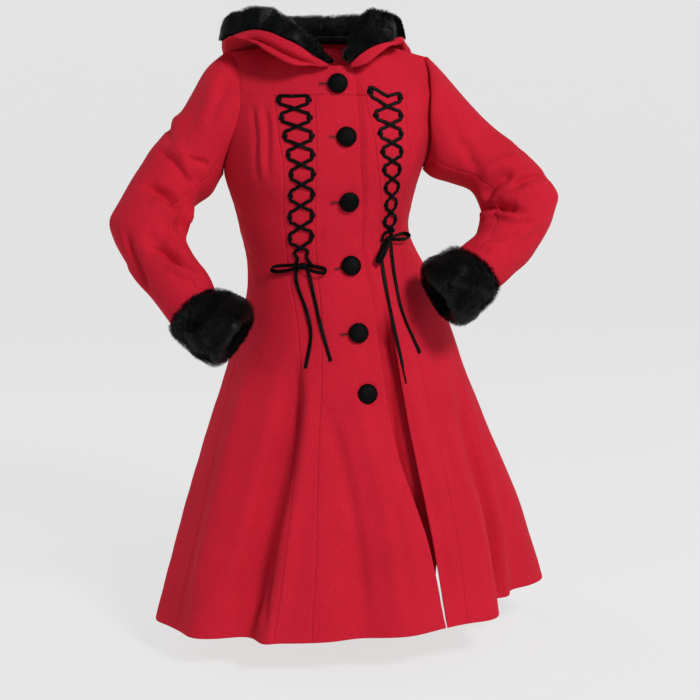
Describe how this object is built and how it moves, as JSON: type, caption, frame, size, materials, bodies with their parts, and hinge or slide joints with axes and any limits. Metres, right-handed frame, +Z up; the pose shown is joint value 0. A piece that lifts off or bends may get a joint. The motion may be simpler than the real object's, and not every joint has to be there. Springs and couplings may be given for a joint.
{
  "type": "hooded winter coat",
  "caption": "Knee-length princess-seamed wool coat, fitted and flared, with fur-lined hood, deep fur cuffs, covered buttons and laced front panels, in worn form.",
  "frame": {"origin": "the base of the neck, midway between the high shoulder points, where the coat hangs from its wearer's shoulders", "axes": "+Z up, -Y toward the coat's front, +X toward the wearer's left"},
  "size_m": [0.7442, 0.5381, 1.0323],
  "materials": {
    "red wool": "brushed melton",
    "black fur": "deep pile",
    "black velvet": "short pile"
  },
  "bodies": {
    "root": {"back_centre_left": "red wool", "back_centre_right": "red wool", "back_side_left": "red wool", "back_side_right": "red wool", "bow_knot_left": "black velvet", "bow_knot_right": "black velvet", "bow_loop_left_a": "black velvet", "bow_loop_left_b": "black velvet", "bow_loop_right_a": "black velvet", "bow_loop_right_b": "black velvet", "bow_tail_left_a": "black velvet", "bow_tail_left_b": "black velvet", "bow_tail_right_a": "black velvet", "bow_tail_right_b": "black velvet", "button_1": "black velvet", "button_2": "black velvet", "button_3": "black velvet", "button_4": "black velvet", "button_5": "black velvet", "button_6": "black velvet", "cuff_fur_left": "black fur", "cuff_fur_right": "black fur", "front_centre_left": "red wool", "front_centre_right": "red wool", "front_side_left": "red wool", "front_side_right": "red wool", "front_yoke_left": "red wool", "front_yoke_right": "red wool", "hood_fur_left": "black fur", "hood_fur_right": "black fur", "hood_shell_left": "red wool", "hood_shell_right": "red wool", "lace_gore_left": "red wool", "lace_gore_right": "red wool", "lace_left_a": "black velvet", "lace_left_b": "black velvet", "lace_right_a": "black velvet", "lace_right_b": "black velvet", "sleeve_top_left": "red wool", "sleeve_top_right": "red wool", "sleeve_under_left": "red wool", "sleeve_under_right": "red wool"}
  },
  "joints": []
}
